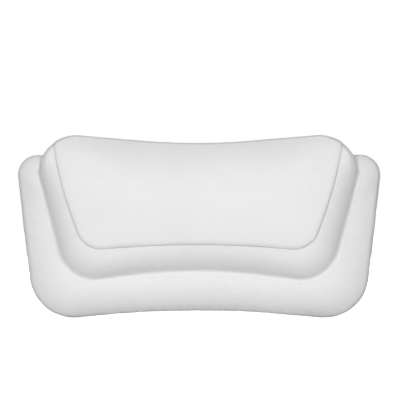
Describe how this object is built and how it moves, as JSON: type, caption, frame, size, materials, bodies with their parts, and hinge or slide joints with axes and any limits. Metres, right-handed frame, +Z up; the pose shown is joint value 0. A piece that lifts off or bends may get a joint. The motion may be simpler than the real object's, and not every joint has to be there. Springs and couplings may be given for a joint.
{
  "type": "bath pillow",
  "caption": "White padded bath pillow: wide base cushion with rounded corners, raised headrest with a seamed face and rolled border, and suction cups at the back.",
  "frame": {"origin": "in the plane of the suction cups' rims, at the middle of the cups, where the pillow meets the bath's wall", "axes": "+X across the pillow, +Y back towards the bath's wall, +Z up; the front faces -Y"},
  "size_m": [0.3804, 0.0876, 0.1918],
  "materials": {
    "vinyl": "soft matt vinyl",
    "piping": "soft matt vinyl",
    "backing": "fine grained vinyl",
    "foam": "open-cell foam",
    "nylon": "moulded, satin",
    "cup": "soft clear vinyl"
  },
  "bodies": {
    "pillow": {"base_front_cover": "vinyl", "base_foam_core": "foam", "base_rear_panel": "backing", "base_edge_piping": "piping", "headrest_face_panel": "vinyl", "headrest_border_strip": "vinyl", "headrest_face_welt": "piping", "headrest_rear_panel": "backing", "headrest_foam_core": "foam", "eyelet_1": "nylon", "eyelet_2": "nylon", "eyelet_3": "nylon", "eyelet_4": "nylon", "eyelet_5": "nylon", "eyelet_6": "nylon", "eyelet_washer_1": "nylon", "eyelet_washer_2": "nylon", "eyelet_washer_3": "nylon", "eyelet_washer_4": "nylon", "eyelet_washer_5": "nylon", "eyelet_washer_6": "nylon"},
    "stud_1": {"cup_stud_1": "nylon"},
    "cup_1": {"suction_cup_1": "cup"},
    "stud_2": {"cup_stud_2": "nylon"},
    "cup_2": {"suction_cup_2": "cup"},
    "stud_3": {"cup_stud_3": "nylon"},
    "cup_3": {"suction_cup_3": "cup"},
    "stud_4": {"cup_stud_4": "nylon"},
    "cup_4": {"suction_cup_4": "cup"},
    "stud_5": {"cup_stud_5": "nylon"},
    "cup_5": {"suction_cup_5": "cup"},
    "stud_6": {"cup_stud_6": "nylon"},
    "cup_6": {"suction_cup_6": "cup"}
  },
  "joints": [
    {"name": "cup_1_press", "type": "slide", "parent": "pillow", "child": "stud_1", "axis": [0, -1, 0], "range_m": [0, 0.003]},
    {"name": "cup_1_turn", "type": "hinge", "parent": "stud_1", "child": "cup_1", "pos_m": [-0.12, 0, 0.039], "axis": [0, 1, 0], "continuous": true},
    {"name": "cup_2_press", "type": "slide", "parent": "pillow", "child": "stud_2", "axis": [0, -1, 0], "range_m": [0, 0.003]},
    {"name": "cup_2_turn", "type": "hinge", "parent": "stud_2", "child": "cup_2", "pos_m": [0, 0, 0.039], "axis": [0, 1, 0], "continuous": true},
    {"name": "cup_3_press", "type": "slide", "parent": "pillow", "child": "stud_3", "axis": [0, -1, 0], "range_m": [0, 0.003]},
    {"name": "cup_3_turn", "type": "hinge", "parent": "stud_3", "child": "cup_3", "pos_m": [0.12, 0, 0.039], "axis": [0, 1, 0], "continuous": true},
    {"name": "cup_4_press", "type": "slide", "parent": "pillow", "child": "stud_4", "axis": [0, -1, 0], "range_m": [0, 0.003]},
    {"name": "cup_4_turn", "type": "hinge", "parent": "stud_4", "child": "cup_4", "pos_m": [-0.12, 0, -0.039], "axis": [0, 1, 0], "continuous": true},
    {"name": "cup_5_press", "type": "slide", "parent": "pillow", "child": "stud_5", "axis": [0, -1, 0], "range_m": [0, 0.003]},
    {"name": "cup_5_turn", "type": "hinge", "parent": "stud_5", "child": "cup_5", "pos_m": [0, 0, -0.039], "axis": [0, 1, 0], "continuous": true},
    {"name": "cup_6_press", "type": "slide", "parent": "pillow", "child": "stud_6", "axis": [0, -1, 0], "range_m": [0, 0.003]},
    {"name": "cup_6_turn", "type": "hinge", "parent": "stud_6", "child": "cup_6", "pos_m": [0.12, 0, -0.039], "axis": [0, 1, 0], "continuous": true}
  ]
}
